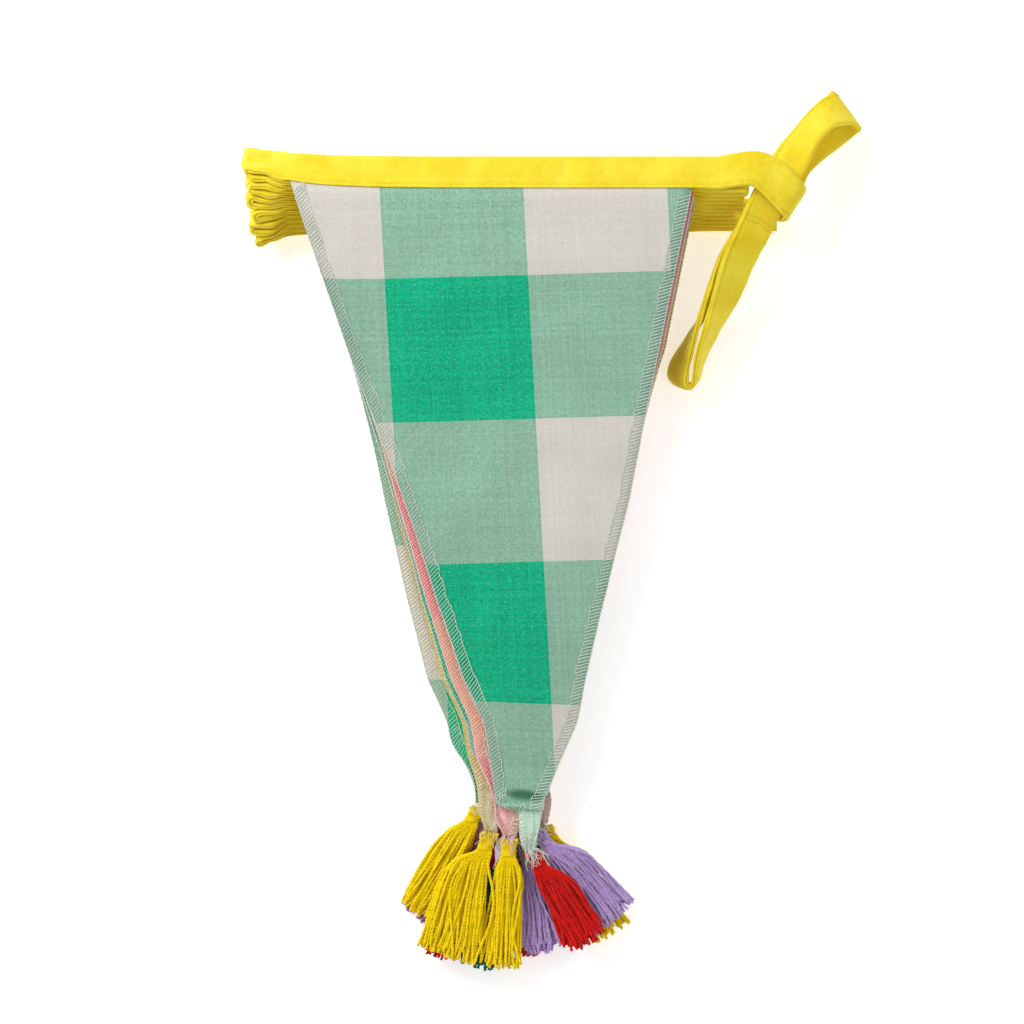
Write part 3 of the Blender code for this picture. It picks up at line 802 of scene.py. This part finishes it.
tieStations = (  # from the sewn end: place, then the way the strip's width points, on and off the page
    (69.3, 104, 20.8, -25, -22), (63.2, 95.2, 19.4, -24, -36), (57.7, 84.7, 17.2, -23, -58),
    (51.4, 73.9, 14.4, -22, -88), (45.9, 62, 10.4, -20, -112), (44.2, 56, 9, -20, -120),
    (44.8, 53, 8.5, -20, -114), (47.1, 51.8, 8.3, -20, -102), (49.6, 52.8, 8.7, -20, -90),
    (50.8, 55.8, 9.6, -20, -82), (52, 62, 11.4, -20, -78), (56.7, 73.9, 15.8, -22, -65),
    (61.2, 84.7, 19.4, -23, -45), (65, 95.2, 22.8, -24, -34), (69.6, 104.8, 24.8, -26, -27),
    (73.8, 113.5, 25.8, -31, -20), (78, 121.2, 25.8, -32, -8), (83, 129.8, 24.6, -34, 14),
    (88.6, 138.6, 22, -38, 44), (94.8, 145.6, 18, -45, 40), (100.6, 148.4, 14.2, -51, 12),
    (103.2, 148, 12, -54, 0), (103.6, 146.6, 9.8, -56, 0), (101.6, 144.4, 8.6, -56, 0),
    (97.2, 140.8, 8.8, -52, 0), (90.6, 135.6, 12, -36, 0), (84.6, 129.2, 15.4, -16, 0),
    (81.6, 122.8, 18, 0, -2), (80.6, 118, 19, 24, -4), (81.8, 115.4, 19.6, 46, -2),
    (83.8, 114.9, 21.6, 57, 0), (84.7, 115.5, 25.4, 58, 0), (83.4, 117, 28.6, 56, 0),
    (80.2, 120.4, 29.9, 50, 0), (76.4, 124, 30.2, 50, -4), (72.6, 126.6, 30.1, 66, -12),
    (67.6, 127.2, 29.8, 82, -22),
)
seam = dict(
    sizes={"Pitch": 2.3, "Length": 1.5, "Thread": 0.14},  # mm
    sides=5, across=-5.1, above=0.84,
    ends=(2, 3),  # sections without stitches
    tackAt=14.4, tackAbove=1.25, tackZigzag=0.7, tackRows=(-0.8, 0.8),
    tackAcross=(-5.5, -4, -2.5, -1, 0.5, 2, 3.5, 5, 5.9),
)


def foldEnd(side, index):
    pair = (index + (side == "right")) // 2
    inward = 1 if side == "left" else -1
    turning = pile[side + "End"] + inward * pile["foldPitch"] / 2
    return turning + inward * pile[side + "Step"] * pair + pile["uneven"][pair]


def runFrames(index):
    # sections along one run: place, way the width points, way along, how far the slot is open, how loose
    stack = runHeight(index)
    inner = foldEnd("left", index)
    ends = {0: pile["firstRunEnd"], pile["count"] - 1: pile["lastRunEnd"]}
    outer = ends.get(index) or foldEnd("right", index)
    steps = int((outer - inner) / tape["runStep"])
    found = []
    for step in range(steps + 1):
        x = mix(inner, outer, (step / steps) ** tape["runCrowding"])
        centre = pilePoint(x, 0, stack)
        width = (pilePoint(x, 1, stack) - centre).normalized()
        slotted = ramp(x, *tape["slotLeft"]) * ramp(x, *tape["slotRight"])
        found.append((centre, width, Vector((1 if index % 2 else -1, 0, 0)), slotted, 0.0))
    return found if index % 2 else found[::-1]


def foldFrames(index):
    side, outward = ("right", 1) if index % 2 else ("left", -1)
    middle = (runHeight(index) + runHeight(index + 1)) / 2
    radius = pile["foldPitch"] / 2
    found = []
    for step in range(1, tape["foldSteps"]):
        turn = pi * step / tape["foldSteps"]
        x = foldEnd(side, index) + outward * radius * sin(turn)
        core = pilePoint(x, 0, middle)
        width = (pilePoint(x, 1, middle) - core).normalized()
        up = (pilePoint(x, 0, middle + 1) - core).normalized()
        along = Vector((outward * cos(turn), 0, 0)) - up * sin(turn)
        found.append((pilePoint(x, 0, middle + radius * cos(turn)), width, along, 0.0, 0.0))
    return found


def tieFrames(joint):
    stations = (*tieStations, (*joint, 90, -degrees(leanAt(joint.x))))
    samples = []
    last = len(stations) - 1
    for index in range(last):
        around = [stations[max(0, index - 1)], stations[index], stations[index + 1], stations[min(last, index + 2)]]
        for split in range(tape["tieSplits"]):
            samples.append([curveThrough(*values, split / tape["tieSplits"]) for values in zip(*around)])
    places = [Vector(sample[:3]) for sample in samples] + [joint]
    found = []
    for index, sample in enumerate(samples):
        ahead = (places[index + 1] - places[index]).normalized()
        behind = (places[index] - places[max(0, index - 1)]).normalized() if index else ahead
        along = (ahead + behind).normalized()
        across, lift = radians(sample[3]), radians(sample[4])
        flat = cos(lift)
        width = Vector((cos(across) * flat, sin(across) * flat, sin(lift)))
        width /= max(tape["leastSlant"], width.cross(along).length)
        loose = smooth(index / tape["tieLoosens"]) * smooth((len(samples) - index) / tape["tieTightens"])
        found.append((places[index], width, along, 0.0, loose))
    return found


def squeezed(point):
    # the left end of the pile is bunched: one smooth field moves all the folds there
    amount = ramp(point.x, *tape["bunchAt"])
    if not amount:
        return point
    place = Vector([part / size for part, size in zip(point, tape["bunchSize"])])
    shift = Vector((
        tape["bunch"] * (noise.noise(place * 1.3 + Vector((0, 0, 5))) + 0.5 * noise.noise(place * 2.6)),
        tape["bunch"] * noise.noise(place + Vector((9, 3, 1))),
        0.5 * tape["bunch"] * noise.noise(place + Vector((4, 8, 2))),
    ))
    shift.y -= tape["sag"] * ramp(point.y, *tape["sagY"]) * ramp(point.x, *tape["sagX"])
    shift.z = max(shift.z, -point.z * 0.5)
    return point + shift * amount


def tapeSection(centre, width, along, slotted, loose, travelled):
    # round the strip: one face from the open edge to the fold, the other back, then the slot
    normal, edge, face = along.cross(width).normalized(), pile["tapeWidth"] / 2, []
    for across, half in tape["profile"]:
        rounded = ramp(across, *tape["roundAt"])
        half -= tape["edgeRound"] * (1 - slotted) * rounded
        long, wide = tape["swellSize"]
        half += mix(*tape["swell"], loose) * ripple(travelled / long, across / wide, 2.0)
        long, wide = tape["puckerSize"]
        puckered = ramp(across, *tape["puckerAt"])
        half += tape["pucker"] * ripple(travelled / long, across / wide, 9.0) * puckered
        face.append((across, half))
    depth = mix(tape["grooveDepth"], tape["slotDepth"], slotted) - edge
    half = mix(tape["grooveWidth"], tape["slotWidth"] / 2, slotted)
    slot = [(across, half + wider) for across, wider in tape["slotEntry"]] + [(depth, half * tape["slotNarrows"])]
    ring = face + [(edge, 0.0)] + [(across, -thick) for across, thick in reversed(face)]
    ring += [(across, -thick) for across, thick in slot] + slot[::-1]
    return [placed(squeezed(centre + width * across + normal * thick)) for across, thick in ring], ring


def seamTree():
    # a row of short stitches along a curve
    tree, given, result = geometryGroup("runningStitches", seam["sizes"])
    inputs = {"Start": (0, 0, 0), "End": vectorOf(given["Length"], 0.0, 0.0)}
    line = addNode("GeometryNodeCurvePrimitiveLine", inputs)[0]
    return finishTree(tree, given, result, addNode("GeometryNodeInstanceOnPoints", {
        "Points": spacedOut(given["Geometry"], given["Pitch"]),
        "Instance": swept(line, circleOf(seam["sides"], given["Thread"])), "Rotation": alongCurve(tree),
    })[0])


def makeTape(surface):
    frames = tieFrames(runFrames(0)[0][0])
    for index in range(pile["count"]):
        frames += runFrames(index)
        if index < pile["count"] - 1:
            frames += foldFrames(index)
    rows, places, travelled, before = [], [], 0.0, frames[0][0]
    for frame in frames:
        travelled += (frame[0] - before).length
        before = frame[0]
        points, ring = tapeSection(*frame, travelled)
        rows.append(points)
        places.append([(across * mm, travelled * mm) for across, thick in ring])
    mesh = gridMesh("tapeCloth", rows, closed=True)
    mapCloth(mesh, places)
    bm = bmesh.new()
    bm.from_mesh(mesh)
    rim = [edge for edge in bm.edges if edge.is_boundary]
    bmesh.ops.holes_fill(bm, edges=rim, sides=0)
    bmesh.ops.recalc_face_normals(bm, faces=bm.faces)
    bm.to_mesh(mesh)
    bm.free()
    print(f"tape: {len(frames)} sections, {travelled:.0f} mm long")
    return addObject("tapeCloth", mesh, surface), frames


def makeSeam(frames, surface):
    # stitches along the open edge on both faces, and two rows across where the hanging loop is sewn
    first, last = seam["ends"]
    paths = [[], []]
    for centre, width, along, slotted, loose in frames[first:-last]:
        normal = along.cross(width).normalized()
        for path, above in zip(paths, (seam["above"], -seam["above"])):
            path.append(placed(squeezed(centre + width * seam["across"] + normal * above)))
    centre, width, along = frames[round(seam["tackAt"] * tape["tieSplits"])][:3]
    normal = along.cross(width).normalized()
    normal *= copysign(seam["tackAbove"], normal.z)
    for row in seam["tackRows"]:
        paths.append([
            placed(centre + width * side + along * (row + seam["tackZigzag"] * (step % 2)) + normal)
            for step, side in enumerate(seam["tackAcross"])
        ])
    return grown(curveObject("tapeSeam", paths), "tapeSeam", seamTree(), inMetres(seam["sizes"]), Material=surface)


# tassels

tassel = dict(
    sizes={"Thickness": 0.62, "Step": 1.25},  # mm, half the yarn's width and the step along it
    shape={"Flatness": 0.82, "Turns": 140.0},  # turns per metre
    sides=5, spacing=0.84, fewest=9, layers=4, layerPitch=0.85, layerShift=0.4, neckY=-1.6, neckWide=2.2,
    neckDeep=1.8, rootY=-4.0, rootWide=3.2, rootFill=0.86, rootDeep=1.35, crownTop=3.5, crownLow=0.62, lobes=4.2,
    spread=0.42, steps=11, levelPitch=5.05, dropMore=2.2, dropEnds=0.67, lowest=0.55, jitter=(0.2, 0.8),
    uneven=(-2.6, 1.8), endWander=1.0, sway=1.3, strays=0.13, straySway=2.6, strayAbove=0.7, strayWander=1.5,
    flick=1.1, flickAt=(0.85, 0.15), crownUneven=(-0.5, 0.2), ripple=0.35, shear=0.35, shearAt=(-2, -18), widen=0.3,
    wraps=4, wrapSteps=16, wrapOver=(-0.9, 0.8), wrapThread=0.8, wrapMore=0.2,
)


def yarnTree():
    # two-ply yarn along each curve: a flattened section that turns as it goes
    tree, given, result = geometryGroup("pliedYarn", {**tassel["sizes"], **tassel["shape"]})

    def stored(geometry, name, value):
        inputs = {"Geometry": geometry, "Name": name, "Value": value}
        return addNode("GeometryNodeStoreNamedAttribute", inputs, data_type="FLOAT", domain="POINT")[0]

    length, factor = [addNode("GeometryNodeSplineParameter", tree=tree)[name] for name in ("Length", "Factor")]
    angle = times(times(length, given["Turns"]), 2 * pi)
    inputs = {"Curve": spacedOut(given["Geometry"], given["Step"]), "Tilt": angle}
    marked = stored(addNode("GeometryNodeSetCurveTilt", inputs)[0], "along", length)
    ring = stored(circleOf(tassel["sides"], given["Thickness"]), "around", factor)
    inputs = {"Geometry": ring, "Scale": vectorOf(1.0, given["Flatness"], 1.0)}
    yarn = swept(marked, addNode("GeometryNodeTransform", inputs)[0])
    return finishTree(tree, given, result, addNode("GeometryNodeSetShadeSmooth", [yarn])[0])


def yarnPiece(name, paths, tree, surface, thickness):
    sizes = {**inMetres({**tassel["sizes"], "Thickness": thickness}), **tassel["shape"]}
    return grown(curveObject(name, paths), name, tree, sizes, Material=surface)


def fromHead(pennant, x, y, z, turned=1.0):
    # x across the tassel, y back up it and z off the page, from its head
    turn = pennant["turn"]
    shear = turn * turned
    return placed((
        pennant["headX"] + x * cos(shear) - y * sin(turn),
        pennant["headY"] + x * sin(shear) + y * cos(turn),
        pennant["headZ"] + z,
    ))


def tasselPaths(index):
    # yarns from a lobed crown through the binding, out into a bell and down, then the binding
    pennant, look = pennants[index], tassel
    rng = random.Random(200 + index)
    drop = pennant["headZ"] - pennant["level"] * look["levelPitch"] - look["dropMore"]
    count = max(look["fewest"], round(2 * pennant["endHalf"] / look["spacing"]))

    def world(x, y, z):
        return fromHead(pennant, x, y, z, mix(look["shear"], 1.0, ramp(y, *look["shearAt"])))

    def about(reach):
        return rng.uniform(-reach, reach)

    paths = []
    for layer in range(look["layers"]):
        level = (layer - (look["layers"] - 1) / 2) * look["layerPitch"]
        for number in range(count):
            shift = look["layerShift"]
            across = (number + rng.uniform(*look["jitter"]) + shift * (layer % 2)) / (count + shift) * 2 - 1
            length = pennant["reach"] + rng.uniform(*look["uneven"]) - 1.0 * across * across
            endX = across * (pennant["endHalf"] + look["widen"]) + about(look["endWander"])
            sway = about(look["sway"])
            above = 0.0
            if rng.random() < look["strays"]:
                sway *= look["straySway"]
                above = look["strayAbove"]
                endX += about(look["strayWander"])
            phase = rng.uniform(0, 6)
            flick = about(look["flick"])
            neckX = across * (look["neckWide"] - 0.5)
            neckZ = level / 1.7 * (look["neckDeep"] - 0.4)
            rootX, rootZ = across * look["rootWide"] * look["rootFill"], neckZ * look["rootDeep"]
            lobe = abs(sin((across + 0.1 * index) * look["lobes"]))
            crown = look["crownTop"] * mix(look["crownLow"], 1.0, lobe) + rng.uniform(*look["crownUneven"])
            path = [
                world(neckX * 1.75, crown, neckZ * mix(0.9, 1.7, lobe)),
                world(neckX * 1.6, crown * 0.62, neckZ * 1.6),
                world(neckX * 1.3, 0.2, neckZ * 1.3),
                world(neckX, look["neckY"], neckZ),
                world(rootX, look["rootY"], rootZ),
            ]
            for step in range(1, look["steps"] + 1):
                part = step / look["steps"]
                fan = part ** look["spread"]
                x = mix(rootX, endX, fan) + pennant["bow"] * sin(pi * fan)
                x += sway * sin(part * 4 + phase) * smooth(part * 3)
                x += flick * ramp(part, *look["flickAt"])
                y = mix(look["rootY"], -length, part)
                z = mix(rootZ, level, smooth(part * 3)) - drop * min(1.0, part / look["dropEnds"])
                z += (look["ripple"] * sin(part * 8 + number * 1.7 + layer) + above) * smooth(part * 4)
                path.append(world(x, y, max(z, look["lowest"] - pennant["headZ"])))
            paths.append(path)
    binding = []
    steps = look["wraps"] * look["wrapSteps"]
    for wrap in range(steps + 1):
        angle = wrap / look["wrapSteps"] * 2 * pi
        binding.append(world(
            (look["neckWide"] + look["wrapMore"]) * cos(angle),
            look["neckY"] + mix(*look["wrapOver"], wrap / steps),
            (look["neckDeep"] + look["wrapMore"]) * sin(angle),
        ))
    return paths, binding


fray = dict(
    count=11, frontCount=22, thread=0.15, length=5.5, lengthVaries=(0.5, 1.15), columns=(0.05, 0.95), first=0.975,
    above=(0.45, 0.6), fan=(2.0, 4.5), wander=2.2, steps=6, wave=0.6, lift=3.1, liftWave=0.5, round=0.06,
)


def frayPaths(index):
    # thread ends of the gathered tip, lying over the tassel's head
    rng = random.Random(500 + index)
    paths = []
    for number in range(fray["count" if index else "frontCount"]):
        column = rng.uniform(*fray["columns"])
        near, far = [(column * 2 - 1) * wide for wide in fray["fan"]]
        aim = far + rng.uniform(-fray["wander"], fray["wander"])
        length = fray["length"] * rng.uniform(*fray["lengthVaries"])
        path = [
            placed(pennantPoint(index, column, down)[0] + Vector((0, 0, above)))
            for down, above in zip((fray["first"], 1.0), fray["above"])
        ]
        for step in range(1, fray["steps"] + 1):
            part = step / fray["steps"]
            x = mix(near, aim, part) + fray["wave"] * sin(part * 7 + number)
            z = fray["lift"] + fray["liftWave"] * sin(part * 5 + number * 1.3) - fray["round"] * x * x
            path.append(fromHead(pennants[index], x, cloth["pastHead"] - length * part, z))
        paths.append(path)
    return paths


# making it all

ginghams = {colour: ginghamMaterial(colour) for colour in ginghamLook["threads"]}
yarns = {colour: yarnMaterial(colour) for colour in yarnLook["colours"]}
edgeThreads = {
    colour: threadMaterial(f"{colour} edge thread", *parts) for colour, parts in overlock["threads"].items()
}
print("materials made")

stitchTree = overlockTree()
plyTree = yarnTree()


def keep(slot, *pieces):
    for piece in pieces:
        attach(piece, "root")


for index, pennant in enumerate(pennants):
    colour, number = pennant["colour"], f"{index + 1:02d}"
    piece = makePennant(index, ginghams[colour])
    trimmings = makeOverlock(index, stitchTree, edgeThreads[colour])
    trimmings.append(yarnPiece(f"fray{number}", frayPaths(index), plyTree, edgeThreads[colour], fray["thread"]))
    keep(f"gingham_{colour}", piece, *trimmings)
    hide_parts(f"pennant_{number}_{colour}")
print("pennants made")

tapeCloth, tapeFrames = makeTape(tapeMaterial())
tapeSeam = makeSeam(tapeFrames, threadMaterial("tape thread", 234, 210, 8))
keep("tape", tapeCloth, tapeSeam)
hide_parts("tape")
print("tape made")

for index, pennant in enumerate(pennants):
    colour, number = pennant["tassel"], f"{index + 1:02d}"
    paths, binding = tasselPaths(index)
    thick = tassel["sizes"]["Thickness"]
    skirt = yarnPiece(f"tassel{number}", paths, plyTree, yarns[colour], thick)
    wraps = yarnPiece(f"binding{number}", [binding], plyTree, yarns[colour], thick * tassel["wrapThread"])
    keep(f"yarn_{colour}", skirt, wraps)
    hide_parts(f"tassel_{number}_{colour}")
print("tassels made")
meshes = [item.data for item in bpy.data.objects if item.type == "MESH"]
print(f"triangles: {sum(len(face.vertices) - 2 for mesh in meshes for face in mesh.polygons)}")


# floor, light and camera

studio = dict(
    floor=srgb(250, 250, 250), floorReach=6, glow=0.4, world=0.6,
    lamps=(("key", (-0.8, 0.8, 0.95), 0.6, 13.0), ("fill", (0.9, -0.5, 1.0), 0.9, 2.0)),  # place, size, power
    sensor=36,
    cameraAway=2.5,  # metres
    pictureWide=0.3584,  # metres of the object's page across the picture
    aim=(-14.0, 7.7, 15.0),  # mm
)


def makeStudio():
    reach = studio["floorReach"]
    floorMesh = gridMesh("floor", [[(x, y, 0) for x in (-reach, reach)] for y in (-reach, reach)])
    surface, tree, shader = newMaterial("floor paper", 0.9, 0.0)
    paler = tuple(part * 0.985 for part in studio["floor"][:3]) + (1.0,)
    connect(blend(cloudy(ownPlace(tree), 40.0, 2.0), paler, studio["floor"]), shader["Base Color"])
    shader["Emission Color"].default_value = (1, 1, 1, 1)
    shader["Emission Strength"].default_value = studio["glow"]
    floor = addObject("floor", floorMesh, surface)
    floor.location.z = -0.0005
    scene = bpy.context.scene
    scene.view_settings.view_transform = "Standard"
    scene.world = bpy.data.worlds.new("studio")
    scene.world.use_nodes = True
    background = scene.world.node_tree.nodes["Background"].inputs
    background["Color"].default_value = (1, 1, 1, 1)
    background["Strength"].default_value = studio["world"]
    for name, place, size, power in studio["lamps"]:
        data = bpy.data.lights.new(name, "AREA")
        data.size = size
        data.energy = power
        lamp = addObject(name, data)
        lamp.location = place
        lamp.rotation_euler = (-Vector(place)).to_track_quat("-Z", "Y").to_euler()
    data = bpy.data.cameras.new("camera")
    data.sensor_width = studio["sensor"]
    data.lens = studio["sensor"] * studio["cameraAway"] / studio["pictureWide"]
    data.clip_start, data.clip_end = 0.1, 20
    scene.camera = addObject("camera", data)
    scene.camera.location = placed(studio["aim"]) + Vector((0, 0, studio["cameraAway"]))


makeStudio()
print("studio ready")
